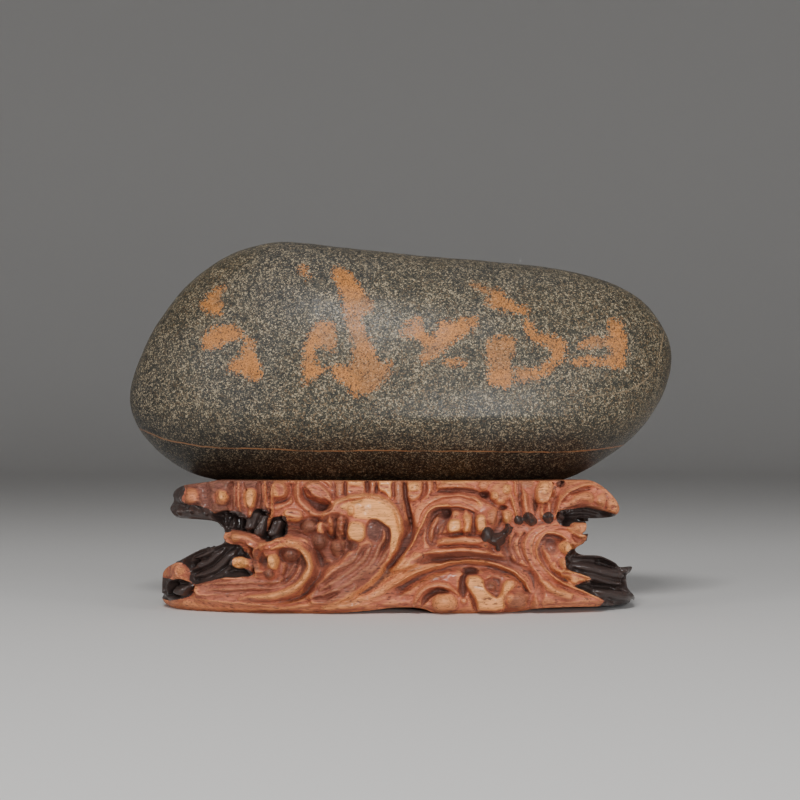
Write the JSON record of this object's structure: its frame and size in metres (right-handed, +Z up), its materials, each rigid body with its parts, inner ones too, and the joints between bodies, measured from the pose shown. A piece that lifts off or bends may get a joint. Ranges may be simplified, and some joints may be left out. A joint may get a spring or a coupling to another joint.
{
  "type": "scholar's rock on stand",
  "caption": "Smooth oblong river stone with pale mineral flecks, resting in the hollow top of a carved wave-pattern wooden stand.",
  "frame": {"origin": "middle of the pair in plan, on the surface that the stand's underside rests on", "axes": "+X along the stone's length to its lower right end, +Z up, -Y the front"},
  "size_m": [0.2985, 0.1198, 0.2009],
  "materials": {
    "stone": "water-worn and lightly waxed, fine salt-and-pepper grain with tan mineral patches",
    "wood": "satin oiled reddish hardwood, with glossy blackened recesses at both ends"
  },
  "bodies": {
    "root": {"stone": "stone", "stand": "wood"}
  },
  "joints": []
}
